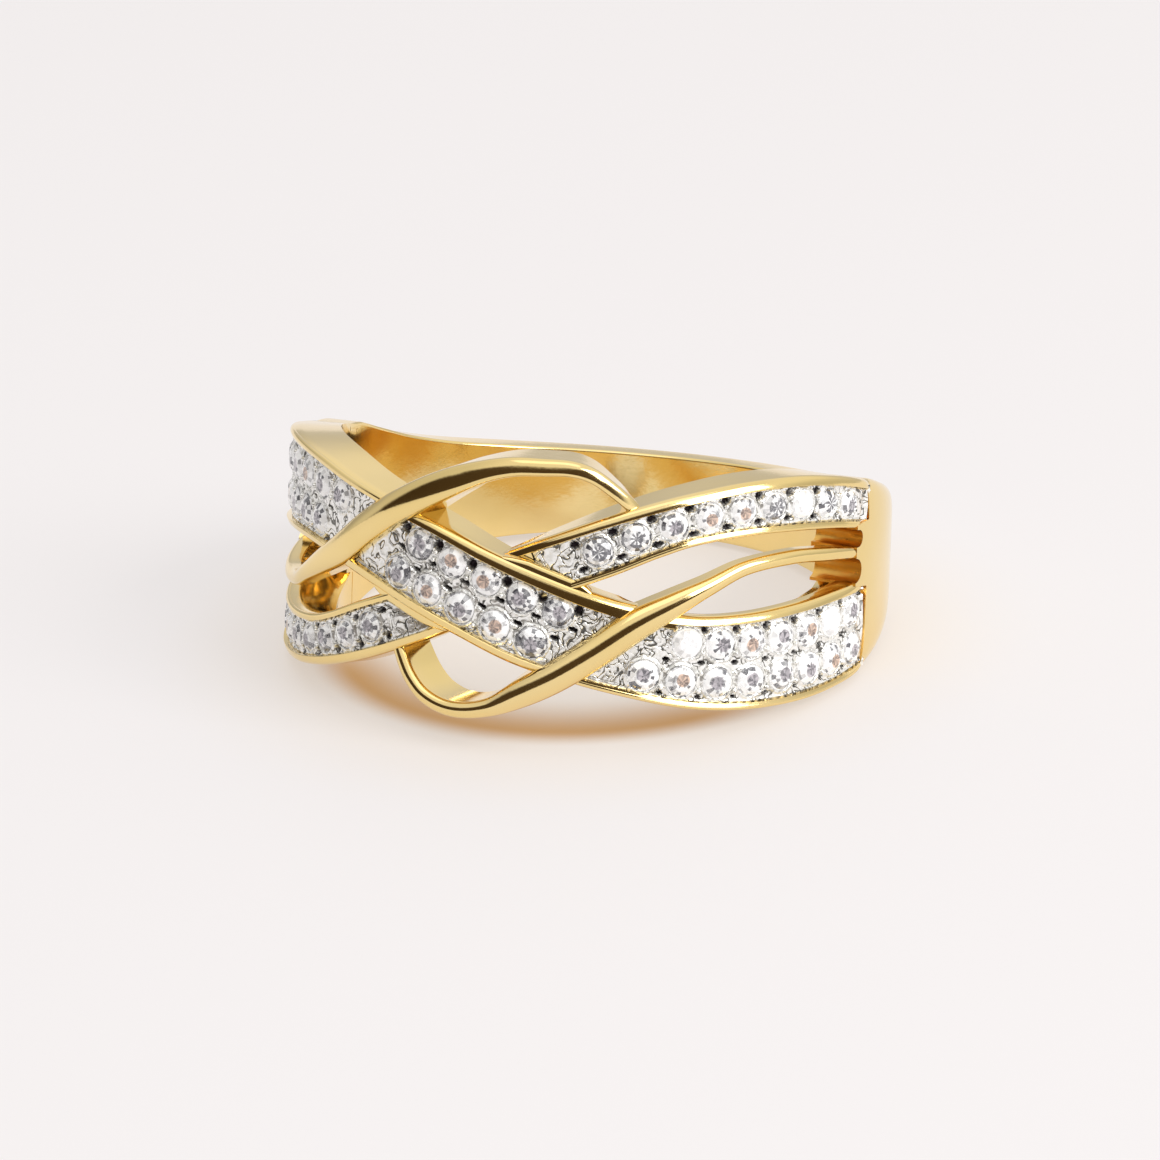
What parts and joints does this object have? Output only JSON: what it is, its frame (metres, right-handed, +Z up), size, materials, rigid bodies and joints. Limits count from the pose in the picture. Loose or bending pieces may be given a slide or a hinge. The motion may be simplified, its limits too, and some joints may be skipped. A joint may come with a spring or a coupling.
{
  "type": "crossover ring",
  "caption": "Yellow gold crossover ring: a wide and a narrow stone-set ribbon cross on the head between two plain looping bands, on a plain tapering shank.",
  "frame": {"origin": "middle of the bounding box's base, on the surface that the ring rests on", "axes": "+Z up from that surface, -Y towards the head with the stones, +X to the right of the head; the finger hole leans 11.1 degrees from +Z towards +Y"},
  "size_m": [0.0208, 0.0212, 0.0099],
  "materials": {
    "gold": "polished yellow gold",
    "white_gold": "bright-cut white metal",
    "stone": "clear, polished facets"
  },
  "bodies": {
    "root": {"ring_casting": "gold", "plate_panel": "white_gold", "plate_wide_right": "white_gold", "plate_wide_left": "white_gold", "plate_narrow_right": "white_gold", "plate_narrow_left": "white_gold", "stones_panel": "stone", "stones_wide_right": "stone", "stones_wide_left": "stone", "stones_narrow_right": "stone", "stones_narrow_left": "stone"}
  },
  "joints": []
}
